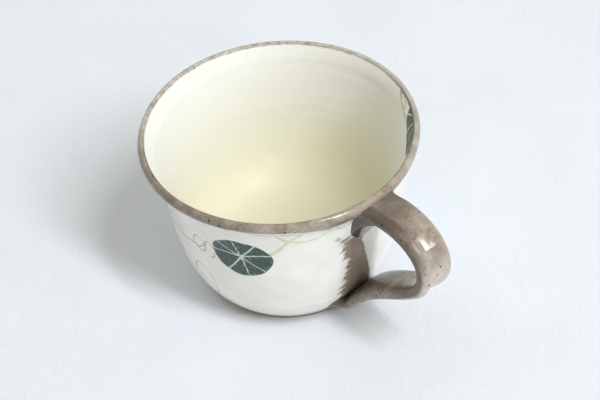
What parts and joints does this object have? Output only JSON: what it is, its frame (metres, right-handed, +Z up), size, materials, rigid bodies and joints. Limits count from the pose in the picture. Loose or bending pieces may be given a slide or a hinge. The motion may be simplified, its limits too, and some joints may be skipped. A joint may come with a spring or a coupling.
{
  "type": "stoneware mug",
  "caption": "Wide hand-thrown stoneware mug with a flared lip, a low foot ring and a pulled strap handle luted to the wall under the lip and near the foot.",
  "frame": {"origin": "on the surface the mug stands on, under the middle of the whole mug's bounding box, handle included", "axes": "+Z up out of the mouth, +X towards the handle, which lies in the XZ plane"},
  "size_m": [0.1341, 0.104, 0.0705],
  "materials": {
    "cream_glaze": "glossy off-white glaze, painted with leaves and tendrils under the gloss",
    "iron_glaze": "glossy grey-brown iron glaze with dark specks",
    "bare_clay": "unglazed fired stoneware, matt"
  },
  "bodies": {
    "root": {"thrown_body": "cream_glaze", "lip": "iron_glaze", "foot_ring": "bare_clay", "handle_strap": "iron_glaze", "upper_slip_joint": "iron_glaze", "lower_slip_joint": "iron_glaze"}
  },
  "joints": []
}
